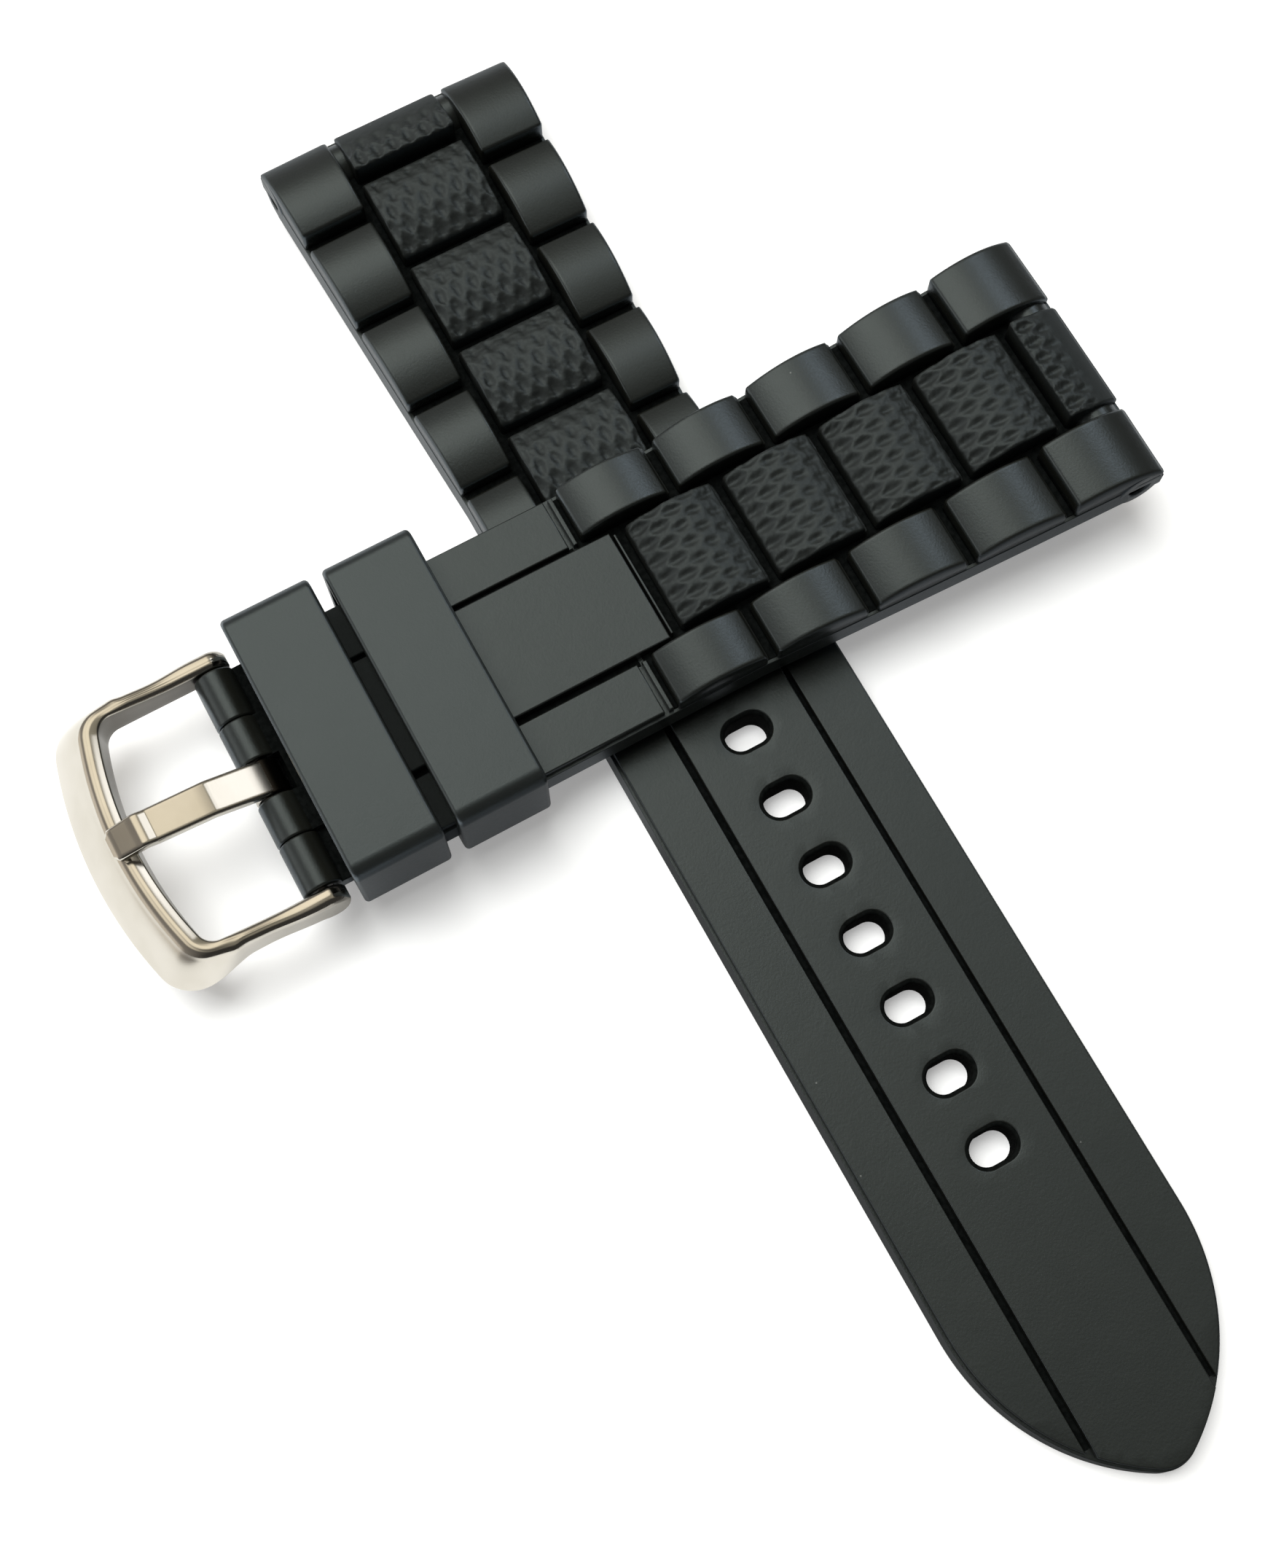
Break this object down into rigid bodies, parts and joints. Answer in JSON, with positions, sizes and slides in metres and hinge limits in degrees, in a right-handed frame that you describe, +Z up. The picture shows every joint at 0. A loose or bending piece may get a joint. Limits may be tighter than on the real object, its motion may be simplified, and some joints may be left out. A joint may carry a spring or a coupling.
{
  "type": "silicone watch strap",
  "caption": "Link-pattern silicone watch strap laid open: a pierced tail half crossing under a half with loop keepers and a pin buckle on a sprung bar.",
  "frame": {"origin": "on the flat underside of the tail half, on its centre line, where the buckle half crosses over it", "axes": "+Z up, out of the straps' patterned faces; +X along the tail half to its point; +Y along the buckle half to its watch end"},
  "size_m": [0.1279, 0.0898, 0.0117],
  "materials": {
    "silicone": "matt moulded silicone, dark charcoal",
    "keeper_silicone": "matt moulded silicone, dark charcoal",
    "polished_steel": "polished",
    "bar_steel": "turned"
  },
  "bodies": {
    "tail_half": {"tail_strap": "silicone"},
    "buckle_half": {"buckle_strap": "silicone", "bar_tube": "bar_steel", "bar_spring": "bar_steel"},
    "keeper_by_buckle": {"keeper_by_buckle": "keeper_silicone"},
    "keeper_loose": {"keeper_loose": "keeper_silicone"},
    "buckle_frame": {"buckle_frame": "polished_steel"},
    "tongue": {"buckle_tongue": "polished_steel"},
    "plunger_near": {"bar_plunger_near": "bar_steel"},
    "plunger_far": {"bar_plunger_far": "bar_steel"}
  },
  "joints": [
    {"name": "lift_off", "type": "slide", "parent": "tail_half", "child": "buckle_half", "axis": [0, 0, 1], "range_m": [0, 0.05]},
    {"name": "buckle_hinge", "type": "hinge", "parent": "buckle_half", "child": "buckle_frame", "pos_m": [0, -0.0353, 0.00605], "axis": [-1, 0, 0], "range_deg": [-45, 35]},
    {"name": "tongue_hinge", "type": "hinge", "parent": "buckle_frame", "child": "tongue", "pos_m": [0, -0.0353, 0.00605], "axis": [-1, 0, 0], "range_deg": [0, 50]},
    {"name": "keeper_by_buckle_slide", "type": "slide", "parent": "buckle_half", "child": "keeper_by_buckle", "axis": [0, 1, 0], "range_m": [0, 0.001]},
    {"name": "keeper_loose_slide", "type": "slide", "parent": "buckle_half", "child": "keeper_loose", "axis": [0, 1, 0], "range_m": [0, 0.005]},
    {"name": "plunger_near_press", "type": "slide", "parent": "buckle_half", "child": "plunger_near", "axis": [-1, 0, 0], "range_m": [0, 0.00125], "stiffness_N_per_m": 400, "springref_m": -0.002, "deforming": ["bar_spring"]},
    {"name": "plunger_far_press", "type": "slide", "parent": "buckle_half", "child": "plunger_far", "axis": [1, 0, 0], "range_m": [0, 0.00125], "stiffness_N_per_m": 400, "springref_m": -0.002}
  ]
}
